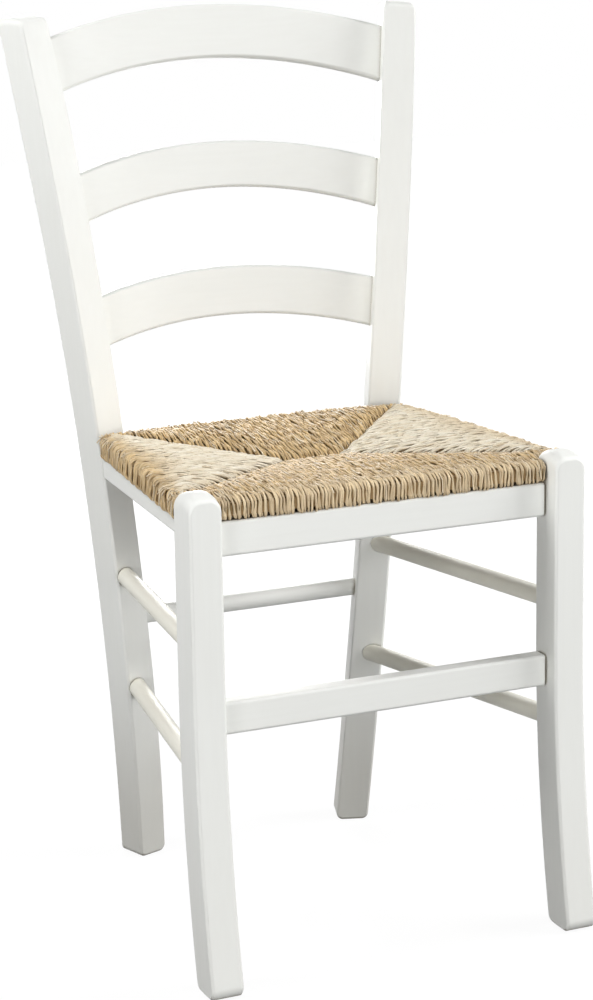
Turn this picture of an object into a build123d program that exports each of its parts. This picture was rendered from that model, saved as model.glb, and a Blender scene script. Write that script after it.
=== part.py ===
from build123d import *
import os
from math import atan2, cos, degrees, radians, sin, sqrt

# Ladder-back dining chair: painted wood, with a rush seat wound on a drop-in frame.
# Millimetres, +Z up. The origin is on the floor under the middle of the chair, and the
# sitter faces -Y. Left and right are as seen from the front: right is +X.
# The right-hand pieces are modelled, and the left-hand ones are their mirror images.
# Everything is drawn square to the seat. At the end the chair leans back on its feet, which
# are cut level with the floor.

# Fits
glue_gap = 0.1  # between a tenon and its mortise, and at a shoulder
rest_gap = 0.3  # between the rush and the wood it lies on or against

seat_pitch = 0.7  # degrees that the chair leans back
foot_waste = 20.0  # left on below the floor until the feet are cut

# Back posts: bent in their own plane, slightly bowed outwards, turned in plan and splayed
post_height = 885.5
post_width = 34.5
post_depth = 40.0  # at the top
post_foot_depth = 34.0
post_foot_x = 123.5  # middle of the foot on the floor
post_foot_y = 151.53
post_turn = 18.5  # degrees that the front faces turn in towards the sitter
post_splay = 4.45  # degrees of lean outwards
post_bend_radius = 2832.0
post_bend_height = 235.5  # where the bent post stands upright
post_bow = 3.5  # how far the middle of a post stands out
post_top_radius = 6.5  # as seen from the front
post_crown_radius = 110.0  # of the top, as seen from the side
post_foot_radius = 7.0  # as seen from the front

# Front legs: upright, then flared forwards to the foot
leg_rise = 31.0  # leg tops above the seat rails
leg_width = 32.5
leg_depth = 40.0
leg_x = 189.5
leg_front_y = -218.47
leg_flare_radius = 1410.0
leg_flare_start = 290.5
leg_top_radius = 12.0  # as seen from the front
leg_crown_radius = 45.0  # of the top, as seen from the side
leg_foot_radius = 10.0  # as seen from the side

arris = 2.2  # broken edges of posts and legs

# Slats: upper edge below the post's top and height, both at the posts, then how far the lower
# and the upper edge arch
slat_sizes = {
    "top_slat": (23.0, 57.5, 35.5, 32.0),
    "middle_slat": (160.0, 51.0, 31.0, 27.5),
    "bottom_slat": (284.0, 53.0, 22.8, 20.8),
}
slat_thickness = 14.0
slat_bow = 27.0  # how far the middle of a slat stands behind its ends
slat_setback = 17.0  # slat's front face behind the post's front face
slat_housing = 15.0  # depth of the mortises for the slats
slat_arris = 2.2

# Seat rails
seat_rail_top = 445.5
front_rail_height = 33.5
front_rail_thickness = 20.0
front_rail_recess = 19.5  # behind the legs' front faces
side_rail_height = 23.0
side_rail_thickness = 20.0
side_rail_leg_inset = 8.5  # inwards from the middle of the leg
rear_rail_setback = 20.0  # rail's middle behind the post's front face
rail_arris = 2.0
tenon_thickness = 9.0
tenon_cheek = 2.0  # front face of a front rail to its tenon
tenon_shoulder = 4.0  # wood left above and below a tenon
front_tenon_length = 17.0
post_tenon_length = 15.0
tenon_wall = 1.5  # wood left between two tenons that meet in one leg

# Front stretcher
stretcher_bottom = 241.5
stretcher_height = 31.5
stretcher_thickness = 18.0
stretcher_recess = 16.0
stretcher_arris = 2.0

# Rungs
rung_diameter = 18.4
rung_bore_depth = 20.0
rung_leg_inset = 2.0  # inwards from the middle of the leg
post_entry_shift = 5.5  # side rails and rungs enter the posts this far out of their middle
side_rung_heights = {"upper": (317.0, 323.5), "lower": (195.5, 203.0)}  # at the post, at the leg
rear_rung_height = 265.5

# Rush seat: outline, thickness at the rim and the sunk middle seam
rush_front_recess = 16.5  # behind the legs' front faces
rush_side_overhang = 1.0  # beyond the legs' outer faces
rush_rear_overhang = 6.0  # rear corners beyond the posts' foremost edges
rush_rim_height = 23.0
rush_sag = 11.0  # middle seam below the rim
rush_seam_from_rear = 148.5
rush_seam_half_length = 30.0
rush_top_roll = 8.0
rush_bottom_roll = 6.0

# Seat frame inside the rush
frame_thickness = 11.0
frame_cover = 5.5  # rush under and round the frame
frame_front_width = 54.0
frame_side_width = 36.0
frame_rear_width = 34.0
frame_tenon_length = 14.0
frame_tenon_width = 12.0
frame_tenon_thickness = 4.0

# Screws that hold the seat frame down
screw_diameter = 4.0
screw_bite = 7.0  # thread in the seat frame
screw_head_diameter = 8.0
screw_head_height = 2.6
screw_room = 0.4  # round the shank in the rail

# Worked out from the sizes above
leg_height = seat_rail_top + leg_rise
leg_back_y = leg_front_y + leg_depth
leg_inner_x = leg_x - leg_width / 2
leg_top_crown = leg_crown_radius - sqrt(leg_crown_radius**2 - (leg_depth / 2) ** 2)
post_top_crown = post_crown_radius - sqrt(post_crown_radius**2 - (post_depth / 2) ** 2)
far = 2 * post_height  # longer than the chair, for cutting blocks
lean_back = Rot(-seat_pitch, 0, 0)
under_floor = Rot(seat_pitch, 0, 0) * Pos(0, 0, -far / 2) * Box(far, far, far)


def mirrored(part):
    """The left-hand twin of a right-hand piece."""
    return mirror(part, about=Plane.YZ)


def ease(bar, top_radius, foot_radius, foot_axis):
    """Rounds the top across and the foot along an axis, which leaves smooth edges, then breaks those."""
    top_edges = bar.faces().sort_by(Axis.Z)[-1].edges().sort_by(Axis.X)
    bar = fillet([top_edges[0], top_edges[-1]], top_radius)
    foot_edges = bar.faces().sort_by(Axis.Z)[0].edges().sort_by(foot_axis)
    bar = fillet([foot_edges[0], foot_edges[-1]], foot_radius)
    corners = [edge for edge in bar.edges() if is_corner(edge, bar)]
    return chamfer(corners, arris)


def is_corner(edge, bar):
    """True where two faces of a bar meet at an angle and not smoothly."""
    middle = edge.position_at(0.5)
    faces = [face for face in bar.faces() if any(edge.is_same(side) for side in face.edges())]
    first, second = (face.normal_at(middle) for face in faces)
    return first.get_angle(second) > 10


def band(lower, upper):
    """Face between two arcs that run the same way."""
    return make_face([lower, Line(lower @ 1, upper @ 1), upper, Line(upper @ 0, lower @ 0)])


def radius_of(half_span, rise):
    """Radius of an arc that rises over half its span."""
    return (half_span**2 + rise**2) / (2 * rise)


# Back posts

post_length = post_height / cos(radians(post_splay)) - post_top_crown
post_bend_centre = sqrt(post_bend_radius**2 - post_bend_height**2) - post_depth / 2
post_bow_radius = radius_of(post_length / 2, post_bow)
post_tilt = Rot(0, post_splay, 0)
post_place = Pos(post_foot_x, post_foot_y, 0) * Rot(0, 0, -post_turn)


def bend_y(along):
    """Where the bent front face stands at a length along the post."""
    return post_bend_centre - sqrt(post_bend_radius**2 - (along - post_bend_height) ** 2)


def bow_x(along):
    """How far the bowed post stands out at a length along it."""
    return post_bow - post_bow_radius + sqrt(post_bow_radius**2 - (along - post_length / 2) ** 2)


def along_post(across, height):
    """Length along the right post at a height, across from its middle."""
    tilt = radians(post_splay)
    along = height
    for _ in range(4):  # settles within a thousandth of a millimetre
        along = (height + (across + bow_x(along)) * sin(tilt)) / cos(tilt)
    return along


def on_post(across, behind, height):
    """Point of the right post: across from its middle, behind its front face, at a height."""
    along = along_post(across, height)
    local = Pos(across + bow_x(along), bend_y(along) + behind, along)
    return (post_place * post_tilt * local).position


def post_bar(grow=0.0):
    """The right post with sharp edges, with its foot at the origin."""
    middle_depth = (post_foot_depth + post_depth) / 2
    depths = {-foot_waste: post_foot_depth, post_length / 2: middle_depth, post_length: post_depth}
    front = [(bend_y(along) - grow, along) for along in depths]
    back = [(bend_y(along) + depth + grow, along) for along, depth in depths.items()]
    crown = ((front[-1][0] + back[-1][0]) / 2, post_length + post_top_crown)
    outline = [
        ThreePointArc(*front),
        ThreePointArc(front[-1], crown, back[-1]),
        ThreePointArc(*back),
        Line(back[0], front[0]),
    ]
    from_side = extrude(Plane.YZ * make_face(outline), post_width, both=True)
    half_width = post_width / 2 + grow
    stations = (-2 * foot_waste, post_length / 2, post_length + 2 * foot_waste)
    inner = ThreePointArc(*[(bow_x(along) - half_width, along) for along in stations])
    outer = ThreePointArc(*[(bow_x(along) + half_width, along) for along in stations])
    from_front = extrude(Plane.XZ * band(inner, outer), post_height, both=True)
    return post_tilt * (from_side & from_front)


post_blank = ease(post_place * post_bar() - under_floor, post_top_radius, post_foot_radius, Axis.X)
post_shoulder = post_place * post_bar(glue_gap)


# Front legs


def flare_y(behind, height):
    """Depth of the leg at a distance behind its front face, on the flare or above it."""
    drop = max(leg_flare_start - height, 0)
    return leg_front_y - leg_flare_radius + sqrt((leg_flare_radius + behind) ** 2 - drop**2)


def leg_bar():
    """The right leg with sharp edges."""
    stations = (-foot_waste, leg_flare_start / 2, leg_flare_start)
    front = [(flare_y(0, height), height) for height in stations]
    back = [(flare_y(leg_depth, height), height) for height in stations]
    top = leg_height - leg_top_crown
    front_top = (leg_front_y, top)
    back_top = (leg_back_y, top)
    crown = ((leg_front_y + leg_back_y) / 2, leg_height)
    outline = [
        ThreePointArc(*front),
        Line(front[-1], front_top),
        ThreePointArc(front_top, crown, back_top),
        Line(back_top, back[-1]),
        ThreePointArc(*back),
        Line(back[0], front[0]),
    ]
    return Pos(leg_x, 0, 0) * extrude(Plane.YZ * make_face(outline), leg_width / 2, both=True)


leg_blank = ease(leg_bar() - under_floor, leg_top_radius, leg_foot_radius, Axis.Y)
legs_shoulder = Pos(0, leg_back_y + glue_gap - far / 2, 0) * Box(far, far, far)


# Slats


def arc_over(radius, top, reach):
    """Arc of a radius with its crown at height top, out to reach on each side."""
    end = top - radius + sqrt(radius**2 - reach**2)
    return ThreePointArc((-reach, end), (0, top), (reach, end))


def slat(drop, height, low_rise, high_rise, grow=0.0):
    """A slat bowed in plan and arched in elevation, trimmed to the depth of its mortises."""
    inner_face = -post_width / 2
    high = post_height - drop
    low = high - height
    seat_low = on_post(inner_face, slat_setback, low)
    seat_high = on_post(inner_face, slat_setback, high)
    seat = (seat_low + seat_high) / 2
    lean = atan2(seat_high.Y - seat_low.Y, height)
    half_height = height / 2 / cos(lean)
    reach = seat.X + slat_housing + slat_thickness  # past the mortises' ends

    lower = arc_over(radius_of(seat.X, low_rise), low_rise - half_height - grow, reach)
    upper = arc_over(radius_of(seat.X, high_rise), high_rise + half_height + grow, reach)
    elevation = extrude(Plane.XZ * band(lower, upper), reach, both=True)
    bow = radius_of(seat.X, slat_bow)
    front = arc_over(bow - grow, slat_bow - grow, reach)
    back = arc_over(bow + slat_thickness + grow, slat_bow + slat_thickness + grow, reach)
    plan = extrude(band(front, back), reach, both=True)

    bar = Pos(0, seat.Y, seat.Z) * Rot(-degrees(lean), 0, 0) * (plan & elevation)
    long_edges = bar.edges().filter_by(lambda edge: edge.length > reach)
    bar = chamfer(long_edges, slat_arris)
    housing_end = inner_face + bow_x(along_post(inner_face, high)) + slat_housing + grow
    beyond = post_place * post_tilt * Pos(housing_end + far / 2, 0, 0) * Box(far, far, 2 * far)
    return bar - beyond - mirrored(beyond)


slats = {name: slat(*sizes) for name, sizes in slat_sizes.items()}
slat_mortises = [slat(*sizes, glue_gap) for sizes in slat_sizes.values()]


# Rails and stretcher


def front_bar(bottom, height, thickness, recess, broken):
    """A straight bar with broken edges between the front legs, and the block that cuts its mortises."""
    front_y = leg_front_y + recess
    middle = bottom + height / 2
    body = Box(2 * (leg_inner_x - glue_gap), thickness, height)
    body = Pos(0, front_y + thickness / 2, middle) * chamfer(body.edges(), broken)

    def tenons(grow):
        length = 2 * (leg_inner_x + front_tenon_length + grow)
        tall = height - 2 * tenon_shoulder + 2 * grow
        at = Pos(0, front_y + tenon_cheek + tenon_thickness / 2, middle)
        return at * Box(length, tenon_thickness + 2 * grow, tall)

    return body + tenons(0), tenons(glue_gap)


def beam(start, end, thickness, height):
    """A level bar whose middle line runs from start to end."""
    axis = end - start
    return Plane((start + end) / 2, x_dir=axis, z_dir=(0, 0, 1)) * Box(axis.length, thickness, height)


def seat_bar(start, end, start_tenon, end_tenon, shoulders):
    """A seat rail between two faces, and the block that cuts its mortises."""
    axis = (end - start).normalized()
    bury = axis * side_rail_thickness / 2
    body = beam(start - bury, end + bury, side_rail_thickness, side_rail_height)
    body = chamfer(body.edges().sort_by(SortBy.LENGTH)[-4:], rail_arris)
    for shoulder in shoulders:
        body = body - shoulder

    def tenons(grow):
        first = start - axis * (start_tenon + grow)
        last = end + axis * (end_tenon + grow)
        tall = side_rail_height - 2 * tenon_shoulder + 2 * grow
        return beam(first, last, tenon_thickness + 2 * grow, tall)

    return body + tenons(0), tenons(glue_gap)


rail_bottom = seat_rail_top - front_rail_height
front_rail, front_rail_mortise = front_bar(
    rail_bottom, front_rail_height, front_rail_thickness, front_rail_recess, rail_arris
)
front_stretcher, stretcher_mortise = front_bar(
    stretcher_bottom, stretcher_height, stretcher_thickness, stretcher_recess, stretcher_arris
)

side_rail_middle = seat_rail_top - side_rail_height / 2
side_rail_rear = on_post(post_entry_shift, 0, side_rail_middle)
side_rail_front = Vector(leg_x - side_rail_leg_inset, leg_back_y, side_rail_middle)
# The side rail's tenon stops short of the front rail's tenon in the same leg
front_tenon_back_y = leg_front_y + front_rail_recess + tenon_cheek + tenon_thickness
leg_tenon_length = leg_back_y - front_tenon_back_y - tenon_wall
right_rail, side_rail_mortise = seat_bar(
    side_rail_rear, side_rail_front, post_tenon_length, leg_tenon_length, [post_shoulder, legs_shoulder]
)

rear_rail_right = on_post(-post_width / 2, rear_rail_setback, side_rail_middle)
rear_rail_left = Vector(-rear_rail_right.X, rear_rail_right.Y, rear_rail_right.Z)
rear_rail, rear_rail_mortise = seat_bar(
    rear_rail_left,
    rear_rail_right,
    post_tenon_length,
    post_tenon_length,
    [post_shoulder, mirrored(post_shoulder)],
)


# Rungs


def rung(start, end, grow=0.0):
    """A round rung between two faces, let into both, or its bores when grown."""
    axis = (end - start).normalized()
    first = start - axis * (rung_bore_depth + grow)
    length = (end - start).length + 2 * (rung_bore_depth + grow)
    at = Plane(first, z_dir=axis)
    return at * Cylinder(rung_diameter / 2 + grow, length, align=(Align.CENTER, Align.CENTER, Align.MIN))


def side_rung_ends(at_post, at_leg):
    start = on_post(post_entry_shift, 0, at_post)
    end = Vector(leg_x - rung_leg_inset, flare_y(leg_depth, at_leg), at_leg)
    return start, end


side_rungs = {name: rung(*side_rung_ends(*heights)) for name, heights in side_rung_heights.items()}
side_rung_bores = [rung(*side_rung_ends(*heights), glue_gap) for heights in side_rung_heights.values()]

rear_rung_right = on_post(-post_width / 2, post_depth / 2, rear_rung_height)
rear_rung_left = Vector(-rear_rung_right.X, rear_rung_right.Y, rear_rung_right.Z)
rear_rung = rung(rear_rung_left, rear_rung_right)
rear_rung_bore = rung(rear_rung_left, rear_rung_right, glue_gap)


# Seat frame

rush_bottom = seat_rail_top + rest_gap
frame_bottom = rush_bottom + frame_cover
rush_front_y = leg_front_y + rush_front_recess
post_corner = on_post(post_width / 2, 0, rush_bottom)  # the post's foremost edge
rush_rear_y = post_corner.Y - rest_gap
rush_rear_half_width = post_corner.X + rush_rear_overhang
notch_x = leg_inner_x - rest_gap  # the seat is notched round the front legs
notch_y = leg_back_y + rest_gap


def rush_side_x(y):
    """Half width of the rush seat at a depth."""
    front_half_width = leg_x + leg_width / 2 + rush_side_overhang
    slope = (front_half_width - rush_rear_half_width) / (rush_rear_y - notch_y)
    return rush_rear_half_width + (rush_rear_y - y) * slope


def prism(outline, bottom, height):
    """Upright solid on a plan outline."""
    return Pos(0, 0, bottom) * extrude(make_face(Polyline(*outline, close=True)), height)


def frame_inner_x(y):
    return rush_side_x(y) - frame_cover - frame_side_width


frame_front_y = rush_front_y + frame_cover
frame_rear_y = rush_rear_y - frame_cover
frame_side_front_y = notch_y + frame_cover


def cross_bar(front_y, rear_y, grow=0.0):
    """A bar across the seat frame, cut at its ends to the side bars' inner edges."""
    half_front = frame_inner_x(front_y) - glue_gap + grow
    half_rear = frame_inner_x(rear_y) - glue_gap + grow
    outline = [
        (-half_front, front_y - grow),
        (half_front, front_y - grow),
        (half_rear, rear_y + grow),
        (-half_rear, rear_y + grow),
    ]
    return prism(outline, frame_bottom - grow, frame_thickness + 2 * grow)


def cross_tenons(y, grow=0.0):
    """The tenons of a cross bar, right through it."""
    half = frame_inner_x(y) + frame_tenon_length + grow
    wide = frame_tenon_width + 2 * grow
    tall = frame_tenon_thickness + 2 * grow
    return Pos(0, y, frame_bottom + frame_thickness / 2) * Box(2 * half, wide, tall)


def side_frame_bar(grow=0.0):
    """The right-hand bar of the seat frame, before its mortises."""
    front_y = frame_side_front_y - grow
    rear_y = frame_rear_y + grow
    outline = []
    for y, side in ((front_y, 1), (rear_y, 1), (rear_y, -1), (front_y, -1)):
        half = (frame_side_width + 2 * grow) / 2
        outline.append((frame_inner_x(y) + frame_side_width / 2 + side * half, y))
    return prism(outline, frame_bottom - grow, frame_thickness + 2 * grow)


frame_front_rear_y = frame_front_y + frame_front_width
frame_rear_front_y = frame_rear_y - frame_rear_width
front_tenon_y = (frame_side_front_y + frame_front_rear_y) / 2
rear_tenon_y = frame_rear_y - frame_rear_width / 2
frame_front = cross_bar(frame_front_y, frame_front_rear_y) + cross_tenons(front_tenon_y)
frame_rear = cross_bar(frame_rear_front_y, frame_rear_y) + cross_tenons(rear_tenon_y)
frame_mortises = cross_tenons(front_tenon_y, glue_gap) + cross_tenons(rear_tenon_y, glue_gap)
frame_right = side_frame_bar() - frame_mortises


# Screws through the side rails

screw_tip = frame_bottom + screw_bite
screw_seat = seat_rail_top - side_rail_height  # where the head bears
screw_spot = (side_rail_front + side_rail_rear) / 2


def upright(radius, bottom, top):
    """An upright round bar at the middle of the right rail."""
    at = Pos(screw_spot.X, screw_spot.Y, bottom)
    return at * Cylinder(radius, top - bottom, align=(Align.CENTER, Align.CENTER, Align.MIN))


head_top = screw_seat - glue_gap
screw_head = upright(screw_head_diameter / 2, head_top - screw_head_height, head_top)
right_screw = screw_head + upright(screw_diameter / 2, head_top, screw_tip)
seat_screws = right_screw + mirrored(right_screw)
screw_pilot = upright(screw_diameter / 2 + glue_gap, screw_seat, screw_tip + glue_gap)
screw_hole = screw_pilot + upright(screw_diameter / 2 + screw_room, screw_seat, frame_bottom - glue_gap)


# Rush seat: a rolled rim, hollowed down to sunk seams where the four wound panels meet


def flip(point):
    """A point on the other side of the chair."""
    return (-point[0], *point[1:])


def is_rolled(edge):
    """True for the rim's edges that don't face a leg."""
    middle = edge.position_at(0.5)
    return abs(middle.X) < notch_x - rest_gap or middle.Y > notch_y + rest_gap


def facet(*corners):
    """Flat face through points."""
    return make_face(Polyline(*corners, close=True))


rim_z = rush_bottom + rush_rim_height
seam_z = rim_z - rush_sag
right_rim = [
    (notch_x, rush_front_y),
    (notch_x, notch_y),
    (rush_side_x(notch_y), notch_y),
    (rush_rear_half_width, rush_rear_y),
]
rush_seat = prism(right_rim + [flip(point) for point in reversed(right_rim)], rush_bottom, rush_rim_height)
upper_rim = rush_seat.faces().sort_by(Axis.Z)[-1].edges().filter_by(is_rolled)
rush_seat = fillet(upper_rim, rush_top_roll)
lower_rim = rush_seat.faces().sort_by(Axis.Z)[0].edges().filter_by(is_rolled)
rush_seat = fillet(lower_rim, rush_bottom_roll)

front_corner = (notch_x - rush_top_roll, notch_y + rush_top_roll, rim_z)
rear_corner = (rush_rear_half_width - rush_top_roll, rush_rear_y - rush_top_roll, rim_z)
apex = (rush_seam_half_length, rush_rear_y - rush_seam_from_rear, seam_z)
slopes = [
    facet(front_corner, flip(front_corner), flip(apex), apex),
    facet(rear_corner, flip(rear_corner), flip(apex), apex),
    facet(front_corner, rear_corner, apex),
    facet(flip(front_corner), flip(rear_corner), flip(apex)),
]
opening = facet(front_corner, rear_corner, flip(rear_corner), flip(front_corner))
hollow = Solid(Shell([*slopes, opening]))

right_frame_room = side_frame_bar(glue_gap) + screw_hole
rush_seat = rush_seat - hollow
rush_seat = rush_seat - cross_bar(frame_front_y, frame_front_rear_y, glue_gap)
rush_seat = rush_seat - cross_bar(frame_rear_front_y, frame_rear_y, glue_gap)
rush_seat = rush_seat - right_frame_room - mirrored(right_frame_room)


# Mortises

right_post = post_blank - side_rail_mortise - rear_rail_mortise - rear_rung_bore
for cut in slat_mortises + side_rung_bores:
    right_post = right_post - cut
right_leg = leg_blank - front_rail_mortise - stretcher_mortise - side_rail_mortise
for bore in side_rung_bores:
    right_leg = right_leg - bore
right_rail = right_rail - screw_hole
frame_right = frame_right - screw_hole

pieces = {
    "right_back_post": right_post,
    "left_back_post": mirrored(right_post),
    **slats,
    "right_front_leg": right_leg,
    "left_front_leg": mirrored(right_leg),
    "front_seat_rail": front_rail,
    "right_seat_rail": right_rail,
    "left_seat_rail": mirrored(right_rail),
    "rear_seat_rail": rear_rail,
    "front_stretcher": front_stretcher,
    "right_upper_rung": side_rungs["upper"],
    "left_upper_rung": mirrored(side_rungs["upper"]),
    "right_lower_rung": side_rungs["lower"],
    "left_lower_rung": mirrored(side_rungs["lower"]),
    "rear_rung": rear_rung,
    "seat_frame_front": frame_front,
    "seat_frame_rear": frame_rear,
    "seat_frame_right": frame_right,
    "seat_frame_left": mirrored(frame_right),
    "rush_seat": rush_seat,
    "seat_screws": seat_screws,
}

os.makedirs("parts", exist_ok=True)
for name, piece in pieces.items():
    export_step(lean_back * piece, f"parts/{name}.step")
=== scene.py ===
import math
import random

import bpy
from mathutils import Matrix, Vector


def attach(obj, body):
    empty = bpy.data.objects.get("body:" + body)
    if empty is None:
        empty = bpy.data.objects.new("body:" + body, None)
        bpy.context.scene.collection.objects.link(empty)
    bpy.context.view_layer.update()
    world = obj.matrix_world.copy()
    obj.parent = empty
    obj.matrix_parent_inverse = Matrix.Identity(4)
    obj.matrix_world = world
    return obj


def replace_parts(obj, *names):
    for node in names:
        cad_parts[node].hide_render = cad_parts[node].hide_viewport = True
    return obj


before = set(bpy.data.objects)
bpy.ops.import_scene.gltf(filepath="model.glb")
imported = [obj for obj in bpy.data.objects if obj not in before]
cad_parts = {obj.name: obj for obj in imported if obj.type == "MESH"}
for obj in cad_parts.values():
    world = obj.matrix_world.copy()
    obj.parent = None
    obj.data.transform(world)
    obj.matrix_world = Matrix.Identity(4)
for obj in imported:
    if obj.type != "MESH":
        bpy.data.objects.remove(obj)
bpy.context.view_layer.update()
scene = bpy.context.scene
scene.view_settings.view_transform = "Standard"


# Node helpers


def add(tree, kind, x, y, **settings):
    """A new node at a place in the tree, with its settings."""
    node = tree.nodes.new(kind)
    node.location = (x, y)
    for name, value in settings.items():
        setattr(node, name, value)
    return node


def put(node, **values):
    """Sets input values by the sockets' names, with spaces written as underscores."""
    for name, value in values.items():
        node.inputs[name.replace("_", " ")].default_value = value
    return node


def feed(tree, sockets, values):
    """Gives each socket a number, colour or vector, or a link from another socket."""
    for socket, value in zip(sockets, values):
        if isinstance(value, (int, float, tuple)):
            socket.default_value = value
        else:
            tree.links.new(value, socket)


def math_node(tree, operation, x, y, *values):
    """A math node whose inputs are numbers or sockets."""
    node = add(tree, "ShaderNodeMath", x, y, operation=operation)
    feed(tree, node.inputs, values)
    return node.outputs[0]


def vector_node(tree, operation, x, y, *values):
    """A vector math node whose inputs are vectors or sockets."""
    node = add(tree, "ShaderNodeVectorMath", x, y, operation=operation)
    feed(tree, node.inputs, values)
    return node.outputs[0]


def mix_colour(tree, x, y, factor, low, high):
    """A colour mix whose inputs are colours or sockets."""
    node = add(tree, "ShaderNodeMix", x, y, data_type="RGBA")
    feed(tree, (node.inputs[0], node.inputs[6], node.inputs[7]), (factor, low, high))
    return node.outputs[2]


def spread(tree, x, y, value, low, high, to_low=0.0, to_high=1.0):
    """Maps a range of values to another, smoothly."""
    node = add(tree, "ShaderNodeMapRange", x, y, interpolation_type="SMOOTHSTEP")
    put(node, From_Min=low, From_Max=high, To_Min=to_low, To_Max=to_high)
    tree.links.new(value, node.inputs["Value"])
    return node.outputs["Result"]


def noise(tree, x, y, place, dimensions="3D", **values):
    """A noise pattern read at a place."""
    node = put(add(tree, "ShaderNodeTexNoise", x, y, noise_dimensions=dimensions), **values)
    tree.links.new(place, node.inputs["Vector"])
    return node


def own_place(tree, x, y):
    """A point's place on the object."""
    return add(tree, "ShaderNodeTexCoord", x, y).outputs["Object"]


def new_group(name, inputs, outputs):
    """A shader node group with its sockets, and its two end nodes."""
    group = bpy.data.node_groups.new(name, "ShaderNodeTree")
    for label, kind, value in inputs:
        socket = group.interface.new_socket(label, in_out="INPUT", socket_type=kind)
        socket.default_value = value
    for label, kind in outputs:
        group.interface.new_socket(label, in_out="OUTPUT", socket_type=kind)
    return group, add(group, "NodeGroupInput", -1200, 0), add(group, "NodeGroupOutput", 800, 0)


def new_material(name):
    """An empty material, its tree and its surface shader."""
    material = bpy.data.materials.new(name)
    material.use_nodes = True
    tree = material.node_tree
    return material, tree, tree.nodes["Principled BSDF"]


# Paint

COLOUR = "NodeSocketColor"
FLOAT = "NodeSocketFloat"
VECTOR = "NodeSocketVector"
off_white = (0.868, 0.876, 0.845, 1)
warm_shade_ivory = (0.868, 0.85, 0.755, 1)
# The grime of the coat's worn streaks, which is also the colour of its painted shade.
grime_and_shade = (0.40, 0.37, 0.31, 1)
hair = 220.0  # brush marks to the metre, across the stroke
pull = 9.0  # and along it
strokes_up = (hair, hair, pull)
strokes_across = (pull, hair, hair)
strokes_back = (hair, pull, hair)
streak_wear = 0.025  # share of grime in the thin streaks and patches of the coat
patch_wear = 0.025
streak_dullness = 0.1  # roughness that the streaks add
foot_shade_low = 0.02  # heights between which the painted shade near the floor fades out
foot_shade_high = 0.22

brushed, brushed_in, brushed_out = new_group(
    "brushed paint",
    [
        ("Colour", COLOUR, off_white),
        ("Shade", COLOUR, grime_and_shade),
        ("Stroke", VECTOR, strokes_up),
        ("Roughness", FLOAT, 0.42),
        ("Scuff", FLOAT, 0.0),
    ],
    [("Colour", COLOUR), ("Roughness", FLOAT), ("Normal", VECTOR)],
)
shade = brushed_in.outputs["Shade"]
place = own_place(brushed, -1200, 300)
stretch = vector_node(brushed, "MULTIPLY", -1000, 250, place, brushed_in.outputs["Stroke"])
strokes = noise(brushed, -800, 300, stretch, Scale=1.0, Detail=5.0, Roughness=0.62)
cloud = noise(brushed, -800, 0, place, Scale=9.0, Detail=2.0)
streaks = spread(brushed, -600, 300, strokes.outputs[0], low=0.3, high=0.7)
patches = spread(brushed, -600, 0, cloud.outputs[0], low=0.3, high=0.7)
thin = math_node(brushed, "MULTIPLY", -400, 200, streaks, streak_wear)
thinner = math_node(brushed, "MULTIPLY", -400, 50, patches, patch_wear)
worn = math_node(brushed, "ADD", -250, 150, thin, thinner)
coated = mix_colour(brushed, -100, 200, worn, brushed_in.outputs["Colour"], shade)
# Painted shade: the coat darkens towards the floor, fading out between the two heights above.
apart = add(brushed, "ShaderNodeSeparateXYZ", -1000, 550)
brushed.links.new(place, apart.inputs[0])
height = apart.outputs["Z"]
foot = spread(brushed, -800, 550, height, foot_shade_low, foot_shade_high, to_low=1.0, to_high=0.0)
painted_foot_shade = math_node(brushed, "MULTIPLY", -250, 450, foot, brushed_in.outputs["Scuff"])
coated = mix_colour(brushed, 50, 350, painted_foot_shade, coated, shade)
# Painted shade: ambient occlusion darkens the coat towards the shade colour in corners and where
# parts meet.
corner = put(add(brushed, "ShaderNodeAmbientOcclusion", -400, -250, samples=8), Distance=0.007)
open_air = spread(brushed, -200, -250, corner.outputs["AO"], low=0.3, high=0.75)
coat_with_painted_shade = mix_colour(brushed, 150, 150, open_air, shade, coated)
brushed.links.new(coat_with_painted_shade, brushed_out.inputs["Colour"])
gloss = math_node(brushed, "MULTIPLY", -100, -50, streaks, streak_dullness)
rough = math_node(brushed, "ADD", 150, -50, gloss, brushed_in.outputs["Roughness"])
brushed.links.new(rough, brushed_out.inputs["Roughness"])
soft_edge = put(add(brushed, "ShaderNodeBevel", 150, -400, samples=6), Radius=0.0024)
ripple = put(add(brushed, "ShaderNodeBump", 400, -300), Strength=0.07, Distance=0.0004)
brushed.links.new(strokes.outputs[0], ripple.inputs["Height"])
brushed.links.new(soft_edge.outputs[0], ripple.inputs["Normal"])
brushed.links.new(ripple.outputs[0], brushed_out.inputs["Normal"])


def paint(name, stroke, foot_shade=0.0, colour=off_white):
    """Paint brushed along a direction, with painted shade darkening it near the floor."""
    material, tree, shader = new_material(name)
    coat = add(tree, "ShaderNodeGroup", -300, 200, node_tree=brushed)
    put(coat, Colour=colour, Stroke=stroke, Scuff=foot_shade)
    tree.links.new(coat.outputs["Colour"], shader.inputs["Base Color"])
    tree.links.new(coat.outputs["Roughness"], shader.inputs["Roughness"])
    tree.links.new(coat.outputs["Normal"], shader.inputs["Normal"])
    put(shader, Specular_IOR_Level=0.4)
    return material


# The legs and back posts take painted shade near the floor, the posts more, as the seat shades
# their lower ends.
paint_up = paint("paint brushed upwards", strokes_up, foot_shade=0.1)
paint_post = paint("paint of the back posts", strokes_up, foot_shade=0.42)
paint_across = paint("paint brushed across", strokes_across)
paint_back = paint("paint brushed front to back", strokes_back)
# Painted shade: the side rungs lie in the seat's shade and take a warmer copy of the white paint.
paint_rung = paint("paint of the side rungs", strokes_back, colour=warm_shade_ivory)


# Bare wood and steel, inside and under the seat

dark_grain = (0.58, 0.40, 0.22, 1)
light_grain = (0.72, 0.55, 0.34, 1)
dark_zinc = (0.50, 0.50, 0.49, 1)
light_zinc = (0.70, 0.70, 0.68, 1)

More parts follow.
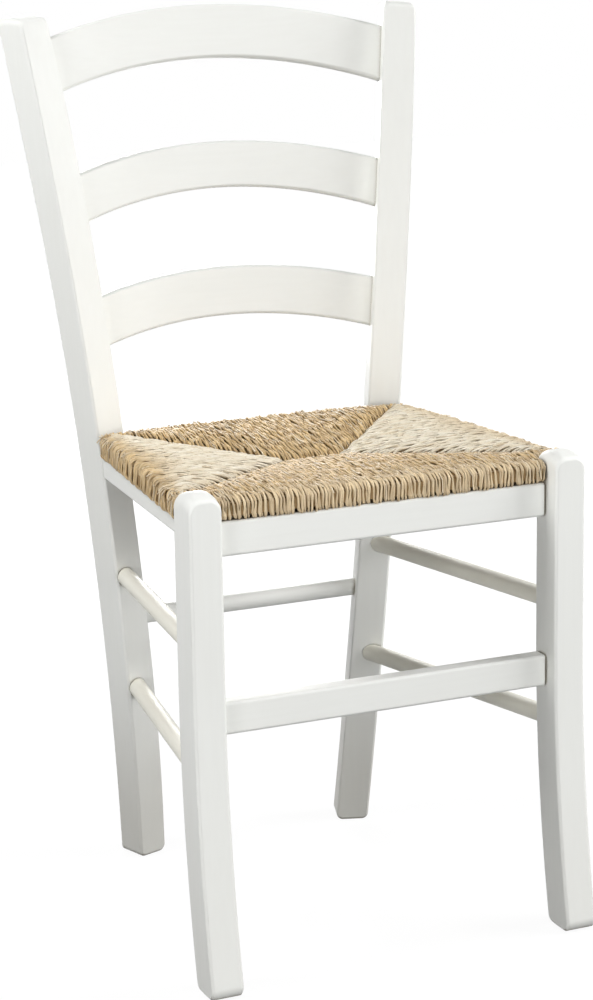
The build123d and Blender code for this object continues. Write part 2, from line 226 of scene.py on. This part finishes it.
bare_wood, tree, shader = new_material("planed bare wood")
grain = add(tree, "ShaderNodeTexWave", -650, 100, bands_direction="DIAGONAL")
put(grain, Scale=38.0, Distortion=5.0, Detail=3.0)
tree.links.new(own_place(tree, -900, 0), grain.inputs["Vector"])
timber = mix_colour(tree, -350, 100, grain.outputs["Fac"], dark_grain, light_grain)
tree.links.new(timber, shader.inputs["Base Color"])
planed = spread(tree, -350, -150, grain.outputs["Fac"], low=0, high=1, to_low=0.55, to_high=0.7)
tree.links.new(planed, shader.inputs["Roughness"])

steel, tree, shader = new_material("zinc plated steel")
bloom = noise(tree, -650, 0, own_place(tree, -900, 0), Scale=900.0, Detail=3.0)
zinc = mix_colour(tree, -350, 100, bloom.outputs[0], dark_zinc, light_zinc)
tree.links.new(zinc, shader.inputs["Base Color"])
plated = spread(tree, -350, -150, bloom.outputs[0], low=0.2, high=0.8, to_low=0.25, to_high=0.45)
tree.links.new(plated, shader.inputs["Roughness"])
put(shader, Metallic=1.0)

finishes = {
    paint_up: ("right_front_leg", "left_front_leg"),
    paint_post: ("right_back_post", "left_back_post"),
    paint_across: (
        "top_slat", "middle_slat", "bottom_slat",
        "front_seat_rail", "rear_seat_rail", "front_stretcher", "rear_rung",
    ),
    paint_back: ("right_seat_rail", "left_seat_rail"),
    paint_rung: ("right_upper_rung", "left_upper_rung", "right_lower_rung", "left_lower_rung"),
    bare_wood: ("seat_frame_front", "seat_frame_rear", "seat_frame_right", "seat_frame_left"),
    steel: ("seat_screws",),
}
for material, names in finishes.items():
    for name in names:
        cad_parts[name].data.materials.clear()
        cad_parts[name].data.materials.append(material)


# Rush seat. It is laid out square to the seat, in metres, then leaned back with the chair.

lean = Matrix.Rotation(math.radians(-0.7), 4, "X")
strand_radius = 0.0020
pitch = 0.0036
rim_top = 0.4688
rim_bottom = 0.4458
sag = 0.0095
front_y = -0.20197
rear_y = 0.11298
notch_x = 0.17295  # the notches of the front legs
notch_y = -0.17817
front_half = 0.20675  # half width behind the front legs
rear_half = 0.17523
top_roll = 0.008  # radii of the rim
bottom_roll = 0.006
apex = (0.030, -0.03552)  # where two seams meet
front_seam_inset = 0.003  # from the corners of the rim to where the seams start
rear_seam_inset = 0.019
front_corner = (front_half - front_seam_inset, notch_y + front_seam_inset)
rear_corner = (rear_half - rear_seam_inset, rear_y - top_roll)
round_corner = 0.02  # length of the rounding of the rear corners
side_fall = 0.008  # how far the rounding falls back, from the sides and from the rear
rear_fall = 0.007
rear_puff = 0.0045  # how far the stuffed panels stand over the rim at their middles
side_puff = 0.003
corner_puff = 0.0015
front_hang = 0.0022  # how far the front panel hangs over the rail at its middle

# Lie of a strand
belly = 0.0022  # how far it rises between its ends
belly_pace = 1.1  # over 1, as the rise ends a little before the rim
uneven = 0.0005  # how much higher or lower it may lie than the next
dive = 0.005  # how deep it dives into the seam
dive_length = 0.012  # over what length
full_dive = 0.06  # length of the shortest strand that dives all the way
top_step = 0.004  # from point to point, on top and underneath
under_step = 0.03
roll_steps = 4  # to each quarter turn

# Lie of a hank of strands
insets = (0.0002, 0.0006, 0.001)  # how far it lies inside the rim, besides its row's deepest
inset_play = 0.0004
slants = (0.001, 0.006)  # least and most shift between its top and its underside
place_play = 0.2  # share of the pitch
end_hanks = (2, 0.0014)  # most strands to a hank and deepest inset, at the front and rear
side_hanks = (3, 0.0028)
row_end = 0.001  # from the ends of a row to its outermost strands
rear_row_end = 0.005
leg_gap = 0.0005  # between the front legs and the strands behind them
least_reach = top_roll + 0.004  # of the shortest strands, in the corners


def side_x(y):
    """Half width of the seat at a depth, with its rear corners rounded."""
    past = max(0.0, y - rear_y + round_corner) / round_corner
    taper = (front_half - rear_half) / (rear_y - notch_y)
    return rear_half + (rear_y - y) * taper - side_fall * past**2


def back_y(x):
    """Depth of the rear rim, with its corners rounded."""
    past = max(0.0, abs(x) - rear_half + round_corner) / round_corner
    return rear_y - rear_fall * past**2


def between(value, low, high, at_low, at_high):
    """Straight line between two points, carried on past them."""
    return at_low + (value - low) * (at_high - at_low) / (high - low)


def front_seam(x):
    """Depth at which a front strand ends."""
    if abs(x) <= apex[0]:
        return apex[1]
    return between(abs(x), apex[0], front_corner[0], apex[1], front_corner[1])


def rear_seam(x):
    """Depth at which a rear strand ends."""
    if abs(x) <= apex[0]:
        return apex[1]
    return between(abs(x), apex[0], rear_corner[0], apex[1], rear_corner[1])


def side_seam(y):
    """Distance from the middle at which a side strand ends."""
    corner = front_corner if y < apex[1] else rear_corner
    return max(apex[0], between(y, apex[1], corner[1], apex[0], corner[0]))


def seam_line(y):
    """Half width between the corners where the seams start."""
    return between(y, front_corner[1], rear_corner[1], front_corner[0], rear_corner[0])


def top_height(x, y):
    """The seat's upper surface, which sinks from the rim towards the middle."""
    ahead = (y - front_corner[1]) / (apex[1] - front_corner[1])
    behind = (rear_corner[1] - y) / (rear_corner[1] - apex[1])
    aside = (seam_line(y) - abs(x)) / (seam_line(apex[1]) - apex[0])
    return rim_top - sag * max(0.0, min(1.0, ahead, behind, aside))


def loop(rim, inward, reach, lie, puff=0.0, hang=0.0):
    """One strand: out of the top seam, over the panel, round the rim, and back underneath.

    Gives its points, how many of them lie on top, and its tone.
    """
    inset, slant, tone = lie
    inward = Vector(inward)
    rim = Vector(rim) + inward * inset
    shift = Vector((inward.y, -inward.x)) * slant
    flat = reach - top_roll
    steps = max(3, round(flat / top_step))
    lift = dice.uniform(-uneven, uneven)
    points = []
    for step in range(steps + 1):
        share = step / steps
        spot = rim + inward * (reach - flat * share)
        height = top_height(spot.x, spot.y) - strand_radius + puff * share * (2 - share) + lift
        height += belly * math.sin(math.pi * min(1.0, share * belly_pace))
        near_seam = max(0.0, 1 - share * flat / dive_length)
        height -= dive * min(1.0, flat / full_dive) * near_seam**2
        points.append((spot.x, spot.y, height))
    rolls = (
        (top_roll, rim_top + puff - top_roll, 90, 1),
        (bottom_roll, rim_bottom + bottom_roll - hang, 0, 0),
    )
    for roll, centre_z, first_angle, first_step in rolls:
        turn = roll - strand_radius
        for step in range(first_step, roll_steps + 1):
            angle = math.radians(first_angle - 90 * step / roll_steps)
            turned = (90 - math.degrees(angle)) / 180
            spot = rim + inward * (roll - turn * math.cos(angle)) + shift * turned
            points.append((spot.x, spot.y, centre_z + turn * math.sin(angle)))
    under = reach - bottom_roll
    under_steps = max(1, round(under / under_step))
    for step in range(1, under_steps + 1):
        spot = rim + inward * (bottom_roll + under * step / under_steps) + shift
        points.append((spot.x, spot.y, rim_bottom + strand_radius))
    return points, steps, tone


def dome(share):
    """1 in the middle of a side, falling to 0 at its ends."""
    return max(0.0, 1 - (2 * share - 1) ** 4)


dice = random.Random(11)
panels = {"front": [], "rear": [], "right": [], "left": []}


def row(count, low, high, most, deepest):
    """Uneven places for strands, in hanks of up to `most` that lie alike.

    Each strand has its place, and its lie: inset, slant and tone.
    """
    step = (high - low) / count
    places = []
    for index in range(count):
        places.append(low + step * (index + 0.5 + dice.uniform(-place_play, place_play)))
    lies = []
    while len(lies) < count:
        inset = dice.choice((*insets, deepest)) + dice.uniform(0.0, inset_play)
        lies += [(inset, dice.uniform(*slants), dice.random())] * dice.randint(1, most)
    return zip(places, lies)


front_end = notch_x - row_end
front_count = round(2 * front_end / pitch)
for x, lie in row(front_count, -front_end, front_end, *end_hanks):
    hang = front_hang * dome((x + notch_x) / (2 * notch_x))
    panels["front"].append(loop((x, front_y), (0, 1), front_seam(x) - front_y, lie, hang=hang))

leg_count = round((front_corner[0] - notch_x) / pitch)
for side in (1, -1):
    for x, lie in row(leg_count, notch_x, front_corner[0], *end_hanks):
        reach = max(front_seam(x) - notch_y, least_reach)
        rim = (side * x, notch_y + leg_gap)
        panels["front"].append(loop(rim, (0, 1), reach, lie, corner_puff))

rear_end = rear_half - rear_row_end
rear_count = round(2 * rear_half / pitch)
for x, lie in row(rear_count, -rear_end, rear_end, *end_hanks):
    reach = max(back_y(x) - rear_seam(x), least_reach)
    puff = rear_puff * dome((x + rear_half) / (2 * rear_half))
    panels["rear"].append(loop((x, back_y(x)), (0, -1), reach, lie, puff))

side_count = round((rear_y - notch_y) / pitch)
for name, side in (("right", 1), ("left", -1)):
    for y, lie in row(side_count, notch_y + row_end, rear_y - row_end, *side_hanks):
        reach = max(side_x(y) - side_seam(y), least_reach)
        puff = side_puff * dome((y - notch_y) / (rear_y - notch_y))
        panels[name].append(loop((side * side_x(y), y), (-side, 0), reach, lie, puff))


# Loose fibres that stand off the strands

fibre_count = 420
rim_points = 6  # points round the rim that fibres may stand on, past those on top
fibre_lengths = (3, 8)  # least and most points
stray = 0.0022  # how far a fibre strays from its strand, to the side
stand_off = (0.0006, 0.0022)  # and outwards
fibre_bow = 0.4  # share of its stand-off that is left at its middle
fibre_pivot = 0.3  # share of its length at which it crosses its strand
fibre_rest = strand_radius * 0.8  # from the strand's middle
seat_middle = Vector((0, apex[1], (rim_top + rim_bottom) / 2))
outwards = Vector((0.15, 0.15, 1.0))  # mostly up

fibres = []
for _ in range(fibre_count):
    path, top_points, _ = dice.choice(panels[dice.choice(list(panels))])
    length = dice.randint(*fibre_lengths)
    first = dice.randint(0, max(0, top_points + rim_points - length))
    aside = Vector((dice.uniform(-1, 1), dice.uniform(-1, 1), 0)) * stray
    lift = dice.uniform(*stand_off)
    fibre = []
    for step, point in enumerate(path[first : first + length]):
        share = step / max(1, length - 1)
        bend = lift * (fibre_bow + (2 * share - 1) ** 2)
        out = ((Vector(point) - seat_middle) * outwards).normalized()
        spot = Vector(point) + aside * (share - fibre_pivot) + out * (fibre_rest + bend)
        fibre.append(tuple(spot))
    if len(fibre) > 2:
        fibres.append((fibre, len(fibre), dice.random()))


# Rush material. The grain winds round the strand with the twist, and no two strands are alike.

dark_honey = (0.39, 0.23, 0.065, 1)
light_honey = (0.80, 0.557, 0.24, 1)
dark_cream = (0.85, 0.75, 0.575, 1)
light_cream = (0.95, 0.90, 0.775, 1)
dry_leaf = (0.86, 0.77, 0.59, 1)
brown_stain = (0.40, 0.26, 0.12, 1)
brown_shadow = (0.25, 0.145, 0.065, 1)
dryness = 0.45  # share of dry leaf where the grain is palest
grain_twist = 160.0  # radians to the metre
grain_along = 26.0  # how close the grain changes along a strand and round it
grain_round = (2.6, 2.6, 0.0)
grain_apart = 90.0  # how far apart two strands read the grain
stain_along = 22.0
stain_apart = 300.0

rush, tree, shader = new_material("twisted rush")


def reading(tree, name, x, y):
    """An attribute stored on the strands."""
    return add(tree, "ShaderNodeAttribute", x, y, attribute_name=name)


number = reading(tree, "strand", -1500, 400).outputs["Fac"]
panel = reading(tree, "panel", -1500, 200).outputs["Fac"]
along = reading(tree, "along", -1500, 0).outputs["Fac"]
ring = reading(tree, "ring", -1500, -200).outputs["Vector"]
turned = add(tree, "ShaderNodeVectorRotate", -1250, -150, rotation_type="Z_AXIS")
tree.links.new(ring, turned.inputs["Vector"])
twist = math_node(tree, "MULTIPLY", -1400, -350, along, grain_twist)
tree.links.new(twist, turned.inputs["Angle"])
far_along = math_node(tree, "MULTIPLY", -1250, -350, along, grain_along)
shifted = math_node(tree, "MULTIPLY_ADD", -1100, -350, number, grain_apart, far_along)
lengthwise = add(tree, "ShaderNodeCombineXYZ", -950, -350)
tree.links.new(shifted, lengthwise.inputs["Z"])
grain_place = vector_node(
    tree, "MULTIPLY_ADD", -800, -200, turned.outputs[0], grain_round, lengthwise.outputs[0]
)
grain = noise(tree, -600, -200, grain_place, Scale=1.0, Detail=4.0, Roughness=0.65).outputs[0]
stain_place = add(tree, "ShaderNodeCombineXYZ", -950, -600)
stain_x = math_node(tree, "MULTIPLY", -1100, -550, along, stain_along)
stain_y = math_node(tree, "MULTIPLY", -1100, -700, number, stain_apart)
feed(tree, stain_place.inputs, (stain_x, stain_y))
blots = noise(tree, -600, -550, stain_place.outputs[0], Scale=1.0, Detail=2.0).outputs[0]
honey = mix_colour(tree, -600, 450, number, dark_honey, light_honey)
cream = mix_colour(tree, -600, 250, number, dark_cream, light_cream)
# Painted light: the panel value makes the lit tops and the front rim's glint paler and the shaded
# rims darker.
leaf_colour = mix_colour(tree, -350, 350, panel, honey, cream)
dry = spread(tree, -350, -50, grain, low=0.35, high=0.68)
drier = math_node(tree, "MULTIPLY", -200, 0, dry, dryness)
pale = mix_colour(tree, -100, 300, drier, leaf_colour, dry_leaf)
stain = spread(tree, -350, -450, blots, low=0.58, high=0.80, to_low=0.0, to_high=0.35)
straw = mix_colour(tree, 50, 300, stain, pale, brown_stain)
crevice = put(add(tree, "ShaderNodeAmbientOcclusion", -100, 600, samples=6), Distance=0.004)
open_air = spread(tree, 100, 600, crevice.outputs["AO"], low=0.08, high=0.56)
shaded = mix_colour(tree, 200, 400, open_air, brown_shadow, straw)
tree.links.new(shaded, shader.inputs["Base Color"])
sheen = spread(tree, 50, 0, grain, low=0.3, high=0.7, to_low=0.36, to_high=0.56)
tree.links.new(sheen, shader.inputs["Roughness"])
ridges = put(add(tree, "ShaderNodeBump", 50, -250), Strength=0.6, Distance=0.0008)
tree.links.new(grain, ridges.inputs["Height"])
tree.links.new(ridges.outputs[0], shader.inputs["Normal"])
put(shader, Specular_IOR_Level=0.4)


# Rush strands: leaves twisted round each other along each loop, slightly uneven

GEOMETRY = "NodeSocketGeometry"
WHOLE = "NodeSocketInt"
leaf_tone = 0.618  # step in tone from leaf to leaf of a strand
wander_apart = 9.0  # how unlike two strands wander
twist_apart = 40.0  # radians between the starts of two strands' twists
slack = 5.0  # how far the wander loosens the twist
leaf_oval = (1.25, 0.72, 1.0)

winding = bpy.data.node_groups.new("rush strands", "GeometryNodeTree")
winding.is_modifier = True
winding.interface.new_socket("Loops", in_out="INPUT", socket_type=GEOMETRY)
dials = {}
for label, kind in (
    ("Leaves", WHOLE),
    ("Leaf radius", FLOAT),
    ("Leaf offset", FLOAT),
    ("Twist", FLOAT),
    ("Waviness", FLOAT),
    ("Unevenness", FLOAT),
    ("Seed", WHOLE),
):
    dials[label] = winding.interface.new_socket(label, in_out="INPUT", socket_type=kind).identifier
winding.interface.new_socket("Strands", in_out="OUTPUT", socket_type=GEOMETRY)
start = add(winding, "NodeGroupInput", -2000, 0)
end = add(winding, "NodeGroupOutput", 1600, 0)


def link(source, target):
    """Joins two sockets of the winding tree."""
    winding.links.new(source, target)


def scaled(x, y, vector, factor):
    """A vector times a number."""
    node = add(winding, "ShaderNodeVectorMath", x, y, operation="SCALE")
    link(vector, node.inputs[0])
    link(factor, node.inputs["Scale"])
    return node.outputs[0]


def stored(x, y, name, geometry, value, kind="FLOAT"):
    """The geometry with a value stored on its points."""
    node = add(winding, "GeometryNodeStoreNamedAttribute", x, y, data_type=kind, domain="POINT")
    put(node, Name=name)
    link(geometry, node.inputs["Geometry"])
    link(value, node.inputs["Value"])
    return node.outputs[0]


line = add(winding, "GeometryNodeMeshToCurve", -1750, 100)
link(start.outputs["Loops"], line.inputs[0])
copies = add(winding, "GeometryNodeDuplicateElements", -1550, 100, domain="SPLINE")
link(line.outputs[0], copies.inputs["Geometry"])
link(start.outputs["Leaves"], copies.inputs["Amount"])
leaf = copies.outputs["Duplicate Index"]
spot = add(winding, "GeometryNodeInputPosition", -1750, -300).outputs[0]
run = add(winding, "GeometryNodeSplineParameter", -1750, -500).outputs["Length"]
tone_read = add(winding, "GeometryNodeInputNamedAttribute", -1750, -700, data_type="FLOAT")
own = put(tone_read, Name="strand").outputs[0]

# Tone and length of each leaf
tone_sum = math_node(winding, "MULTIPLY_ADD", -1500, -700, leaf, leaf_tone, own)
tone = math_node(winding, "FRACT", -1350, -700, tone_sum)
toned = stored(-1350, 100, "strand", copies.outputs[0], tone)
measured = stored(-1150, 100, "along", toned, run)

# Wander and twist
wander = noise(winding, -1500, -350, spot, "4D", Scale=60.0, Detail=2.0)
seed = math_node(winding, "MULTIPLY_ADD", -1700, -950, own, wander_apart, start.outputs["Seed"])
link(seed, wander.inputs["W"])
drift = vector_node(winding, "SUBTRACT", -1300, -350, wander.outputs["Color"], (0.5, 0.5, 0.5))
sway = scaled(-1100, -350, drift, start.outputs["Waviness"])
turns = math_node(winding, "MULTIPLY", -1350, -550, run, start.outputs["Twist"])
own_turns = math_node(winding, "MULTIPLY_ADD", -1300, -850, own, twist_apart, turns)
leaf_step = math_node(winding, "DIVIDE", -1300, -1000, 2 * math.pi, start.outputs["Leaves"])
phase = math_node(winding, "MULTIPLY_ADD", -1150, -700, leaf, leaf_step, own_turns)
loose = math_node(winding, "MULTIPLY_ADD", -950, -700, wander.outputs[0], slack, phase)
upward = add(winding, "GeometryNodeInputNormal", -1350, -1100).outputs[0]
ahead = add(winding, "GeometryNodeInputTangent", -1350, -1250).outputs[0]
sideways = vector_node(winding, "CROSS_PRODUCT", -1150, -1150, ahead, upward)
rise = scaled(-750, -950, upward, math_node(winding, "COSINE", -900, -900, loose))
slip = scaled(-750, -1150, sideways, math_node(winding, "SINE", -900, -1100, loose))
circle = vector_node(winding, "ADD", -550, -1000, rise, slip)
around = scaled(-400, -1000, circle, start.outputs["Leaf offset"])
placed = add(winding, "GeometryNodeSetPosition", -700, 100)
link(measured, placed.inputs["Geometry"])
link(vector_node(winding, "ADD", -850, -350, sway, around), placed.inputs["Offset"])
tilted = add(winding, "GeometryNodeSetCurveTilt", -450, 100)
link(placed.outputs[0], tilted.inputs["Curve"])
link(phase, tilted.inputs["Tilt"])

# Thickness and section
swell = noise(winding, -650, -600, spot, "4D", Scale=80.0, Detail=1.0)
link(own, swell.inputs["W"])
swing = math_node(winding, "SUBTRACT", -450, -600, swell.outputs[0], 0.5)
fat = math_node(winding, "MULTIPLY_ADD", -250, -600, swing, start.outputs["Unevenness"], 1.0)
thick = add(winding, "GeometryNodeSetCurveRadius", -200, 100)
link(tilted.outputs[0], thick.inputs["Curve"])
link(fat, thick.inputs["Radius"])
section = put(add(winding, "GeometryNodeCurvePrimitiveCircle", -200, -850), Resolution=6)
link(start.outputs["Leaf radius"], section.inputs["Radius"])
direction = vector_node(winding, "NORMALIZE", -200, -1050, spot)
ringed = stored(50, -800, "ring", section.outputs[0], direction, "FLOAT_VECTOR")
oval = add(winding, "GeometryNodeSetPosition", 250, -800)
link(ringed, oval.inputs["Geometry"])
link(vector_node(winding, "MULTIPLY", 50, -1050, spot, leaf_oval), oval.inputs["Position"])
cords = put(add(winding, "GeometryNodeCurveToMesh", 450, 100), Fill_Caps=True)
link(thick.outputs[0], cords.inputs["Curve"])
link(oval.outputs[0], cords.inputs["Profile Curve"])
smooth = add(winding, "GeometryNodeSetShadeSmooth", 700, 100)
link(cords.outputs[0], smooth.inputs[0])
real = add(winding, "GeometryNodeRealizeInstances", 950, 100)
link(smooth.outputs[0], real.inputs[0])
dressed = put(add(winding, "GeometryNodeSetMaterial", 1200, 100), Material=rush)
link(real.outputs[0], dressed.inputs["Geometry"])
link(dressed.outputs[0], end.inputs["Strands"])

tone_play = 0.15  # difference in tone between the strands of a hank
rim_from = 0.7  # share of a strand's top at which it starts to take the rim's paleness, partly painted light
rim_blend = 0.3  # share over which it does


def wind(name, paths, paleness_and_light, rim_paleness_and_light, settings):
    """Winds rush along paths, and leaves it as a plain mesh that leans with the chair."""
    points = []
    edges = []
    tones = []
    pales_and_light = []
    for path, top_points, tone in paths:
        own_tone = min(1.0, max(0.0, tone + dice.uniform(-tone_play, tone_play)))
        first = len(points)
        edges += [(first + index, first + index + 1) for index in range(len(path) - 1)]
        points += path
        tones += [own_tone] * len(path)
        # Paleness, partly painted light, blends from the top's to the rim's along each strand.
        for index in range(len(path)):
            share = min(1.0, max(0.0, (index / top_points - rim_from) / rim_blend))
            pales_and_light.append(paleness_and_light + (rim_paleness_and_light - paleness_and_light) * share)
    threads = bpy.data.meshes.new(name)
    threads.from_pydata(points, edges, [])
    threads.attributes.new("strand", "FLOAT", "POINT").data.foreach_set("value", tones)
    threads.attributes.new("panel", "FLOAT", "POINT").data.foreach_set("value", pales_and_light)
    piece = bpy.data.objects.new(name, threads)
    scene.collection.objects.link(piece)
    wound = piece.modifiers.new("rush strands", "NODES")
    wound.node_group = winding
    for label, value in settings.items():
        wound[dials[label]] = value
    bpy.context.view_layer.update()
    whole = piece.evaluated_get(bpy.context.evaluated_depsgraph_get())
    mesh = bpy.data.meshes.new_from_object(whole)
    piece.modifiers.clear()
    piece.data = mesh
    mesh.transform(lean)
    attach(piece, "root")
    return piece


strand_shape = {
    "Leaves": 2,
    "Leaf radius": 0.0013,
    "Leaf offset": 0.0007,
    "Twist": 150.0,
    "Waviness": 0.0011,
    "Unevenness": 0.75,
    "Seed": 5,
}
fibre_shape = {
    "Leaves": 1,
    "Leaf radius": 0.0006,
    "Leaf offset": 0.0,
    "Twist": 60.0,
    "Waviness": 0.0014,
    "Unevenness": 1.0,
    "Seed": 9,
}
# Paleness of each panel, from honey to cream, on top and at the rim; partly the rush's own tone
# and partly painted light: paler on the side panels' lit tops, darker on their rims as they turn
# from the light, the left rim most, and paler at the front rim for a painted glint
panel_paleness_and_light = {
    "front": (0.03, 0.3),
    "rear": (0.0, 0.0),
    "right": (1.0, 0.5),
    "left": (0.95, 0.1),
}
fibre_paleness = 0.6
for name, (paleness_and_light, rim_paleness_and_light) in panel_paleness_and_light.items():
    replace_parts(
        wind(f"rush_{name}_panel", panels[name], paleness_and_light, rim_paleness_and_light, strand_shape), "rush_seat"
    )
wind("rush_fibres", fibres, fibre_paleness, fibre_paleness, fibre_shape)


# Stuffing between the upper and the lower layer, seen as the dark in the gaps; its dark husk
# colours are painted shade

# Husk colours darkened as painted shade for the gaps between the strands.
shaded_dark_husk = (0.24, 0.155, 0.07, 1)
shaded_light_husk = (0.42, 0.29, 0.15, 1)
core_inset = 0.0036  # from the rim
core_notch = 0.001  # from the notches of the front legs
core_corner = 0.008  # from the rear corners
core_bulge = 0.75  # share of the rear half width at which the stuffing is at its highest
core_ring = 0.008  # from the edge of the stuffing to the ring where it rises
core_swell = 0.8  # share of the panels' puff that the ring follows
core_bottom = rim_bottom + 0.004
core_edge = rim_top - 0.0085
core_rise = rim_top - 0.0045
core_middle = rim_top - sag - 0.0055

stuffing, tree, shader = new_material("rush stuffing")
chaff = noise(tree, -600, 0, own_place(tree, -800, 0), Scale=400.0, Detail=3.0)
husk = mix_colour(tree, -300, 100, chaff.outputs[0], shaded_dark_husk, shaded_light_husk)
tree.links.new(husk, shader.inputs["Base Color"])
put(shader, Roughness=0.9, Specular_IOR_Level=0.1)

middle_y = (notch_y + rear_y) / 2
outline = [
    (notch_x - core_notch, front_y + core_inset, 0.0),
    (notch_x - core_notch, notch_y + core_inset, 0.0),
    (side_x(notch_y) - core_inset, notch_y + core_inset, 0.0),
    (side_x(middle_y) - core_inset, middle_y, side_puff),
    (rear_half - core_corner, rear_y - core_corner, 0.0),
    (rear_half * core_bulge, rear_y - core_inset, rear_puff),
]
half = len(outline)
outline += [(-x, y, puff) for x, y, puff in reversed(outline)]
count = len(outline)
centre = Vector((0, apex[1]))
corners = []
for x, y, puff in outline:
    edge = Vector((x, y))
    inner = edge + (centre - edge).normalized() * core_ring
    corners.append((x, y, core_bottom))
    corners.append((x, y, core_edge))
    corners.append((inner.x, inner.y, core_rise + core_swell * puff))
right, left = len(corners), len(corners) + 1
corners += [(apex[0], apex[1], core_middle), (-apex[0], apex[1], core_middle)]
walls = [tuple(3 * index for index in reversed(range(count)))]
for index in range(count):
    here, after = 3 * index, 3 * ((index + 1) % count)
    walls.append((here, after, after + 1, here + 1))
    walls.append((here + 1, after + 1, after + 2, here + 2))
    if index == half - 1:
        walls.append((here + 2, after + 2, left, right))
    elif index == count - 1:
        walls.append((here + 2, after + 2, right, left))
    else:
        walls.append((here + 2, after + 2, right if index < half else left))
mesh = bpy.data.meshes.new("rush_stuffing")
mesh.from_pydata(corners, [], walls)
mesh.transform(lean)
mesh.materials.append(stuffing)
core = bpy.data.objects.new("rush_stuffing", mesh)
scene.collection.objects.link(core)
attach(core, "root")


# Floor, light and camera

white = (1, 1, 1, 1)
dim_floor = (0.09, 0.09, 0.09, 1)
floor_half = 6
shaded_near_white = 0.92  # the floor's glow under the chair, dimmed as painted shade round the chair
near, far = 0.3, 1.1  # distances between which it rises to full white


def seen_directly(tree, x, y):
    """1 for what the camera sees, mirrored or through glass too, and 0 for the light it gives."""
    path = add(tree, "ShaderNodeLightPath", x, y)
    seen = math_node(
        tree, "MAXIMUM", x + 250, y, path.outputs["Is Camera Ray"], path.outputs["Is Glossy Ray"]
    )
    return math_node(tree, "MAXIMUM", x + 450, y, seen, path.outputs["Is Transmission Ray"])


world = bpy.data.worlds.new("white studio")
world.use_nodes = True
scene.world = world
tree = world.node_tree
seen = seen_directly(tree, -900, 300)
facing = add(tree, "ShaderNodeTexCoord", -1100, -50)
height = add(tree, "ShaderNodeSeparateXYZ", -900, -50)
tree.links.new(facing.outputs["Generated"], height.inputs[0])
overhead = put(add(tree, "ShaderNodeMapRange", -650, -50), To_Min=0.0, To_Max=0.12)
tree.links.new(height.outputs["Z"], overhead.inputs["Value"])
level = add(tree, "ShaderNodeMix", -250, 150)
tree.links.new(seen, level.inputs[0])
tree.links.new(overhead.outputs["Result"], level.inputs[2])
level.inputs[3].default_value = 1.0
sky = put(tree.nodes["Background"], Color=white)
tree.links.new(level.outputs[0], sky.inputs["Strength"])

floor_look, tree, shader = new_material("white floor")
put(shader, Base_Color=dim_floor, Roughness=1.0, Specular_IOR_Level=0.0, Emission_Color=white)
glow = seen_directly(tree, -700, -200)
distance = add(tree, "ShaderNodeVectorMath", -700, -450, operation="LENGTH")
tree.links.new(own_place(tree, -900, -450), distance.inputs[0])
# Painted shade: the floor glows less near the chair.
whiter = spread(tree, -450, -450, distance.outputs["Value"], near, far, shaded_near_white, 1.0)
shine = math_node(tree, "MULTIPLY", -100, -200, glow, whiter)
tree.links.new(shine, shader.inputs["Emission Strength"])
corner_signs = ((-1, -1), (1, -1), (1, 1), (-1, 1))
floor_corners = [(floor_half * x, floor_half * y, 0) for x, y in corner_signs]
mesh = bpy.data.meshes.new("floor")
mesh.from_pydata(floor_corners, [], [(0, 1, 2, 3)])
mesh.materials.append(floor_look)
floor = bpy.data.objects.new("floor", mesh)
scene.collection.objects.link(floor)


def lamp(name, place, target, size, power):
    """A square soft lamp turned to a point."""
    light = bpy.data.lights.new(name, "AREA")
    light.size = size
    light.energy = power
    holder = bpy.data.objects.new(name, light)
    holder.location = place
    holder.rotation_euler = (Vector(target) - Vector(place)).to_track_quat("-Z", "Y").to_euler()
    scene.collection.objects.link(holder)


lamp("upper left lamp", (-1.55, 0.15, 1.95), (-0.1, 0.15, 0.75), size=0.8, power=29)
lamp("right lamp", (2.6, -0.9, 1.8), (0, 0, 0.5), size=1.6, power=80)
lamp("front lamp", (0.4, -1.9, 0.7), (0, -0.2, 0.35), size=0.8, power=10.5)
lamp("lower left lamp", (-1.8, -1.5, 0.7), (0, -0.1, 0.4), size=0.8, power=15.5)
lamp("low front lamp", (-0.45, -1.7, 0.35), (-0.05, -0.2, 0.35), size=0.6, power=4)
lamp("rear lamp", (0.5, 2.3, 0.75), (0, 0.15, 0.55), size=1.2, power=36)

view = bpy.data.cameras.new("camera")
view.lens = 97.04
view.sensor_width = 36
view.shift_x = 0.00024
view.shift_y = 0.00315
camera = bpy.data.objects.new("camera", view)
sight = Matrix(
    (
        (0.912289, 0.109569, -0.394617, -1.07586),
        (-0.409244, 0.206866, -0.888665, -2.41665),
        (-0.015737, 0.972215, 0.233562, 1.03774),
        (0, 0, 0, 1),
    )
)
camera.matrix_world = lean @ sight
scene.collection.objects.link(camera)
scene.camera = camera
